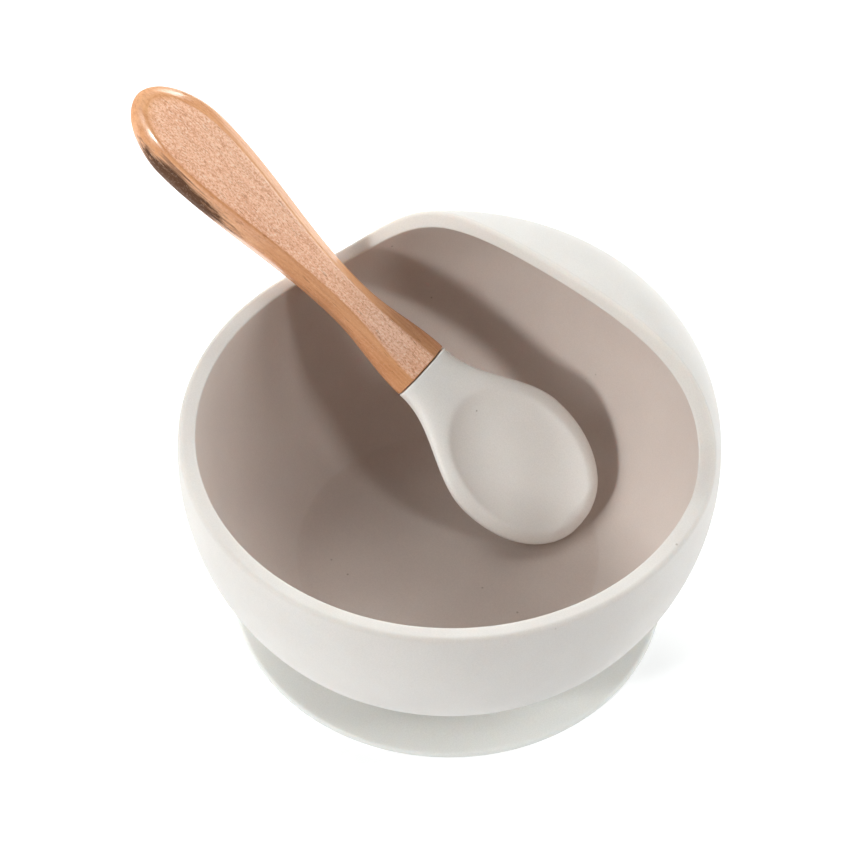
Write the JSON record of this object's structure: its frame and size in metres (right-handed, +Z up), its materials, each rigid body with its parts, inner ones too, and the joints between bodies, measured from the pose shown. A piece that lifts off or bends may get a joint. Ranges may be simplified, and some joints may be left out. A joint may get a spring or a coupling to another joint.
{
  "type": "suction bowl with spoon",
  "caption": "Round silicone baby bowl with a curled-in hood on one side, standing on a wide suction cup, with a wood-handled silicone spoon.",
  "frame": {"origin": "on the bowl's axis, on the plane that the suction cup's sealing ring rests on", "axes": "+Z up along the bowl's axis, +Y from the axis towards the middle of the hood, +X to the right when facing the hood from the open side"},
  "size_m": [0.1631, 0.125, 0.1007],
  "materials": {
    "bowl_silicone": "matte, light warm grey",
    "cup_silicone": "satin, slightly translucent",
    "spoon_silicone": "matte, light warm grey",
    "beech": "clear varnish, semi-gloss",
    "core_nylon": "natural"
  },
  "bodies": {
    "cup": {"suction_cup": "cup_silicone"},
    "bowl": {"bowl": "bowl_silicone"},
    "spoon": {"spoon_head": "spoon_silicone", "spoon_handle": "beech", "spoon_core": "core_nylon"}
  },
  "joints": [
    {"name": "suction_press", "type": "slide", "parent": "cup", "child": "bowl", "axis": [0, 0, -1], "range_m": [0, 0.0025], "stiffness_N_per_m": 12000, "deforming": ["suction_cup"]},
    {"name": "spoon_lift", "type": "slide", "parent": "bowl", "child": "spoon", "axis": [0, -0.287, 0.9579], "range_m": [0, 0.1]}
  ]
}
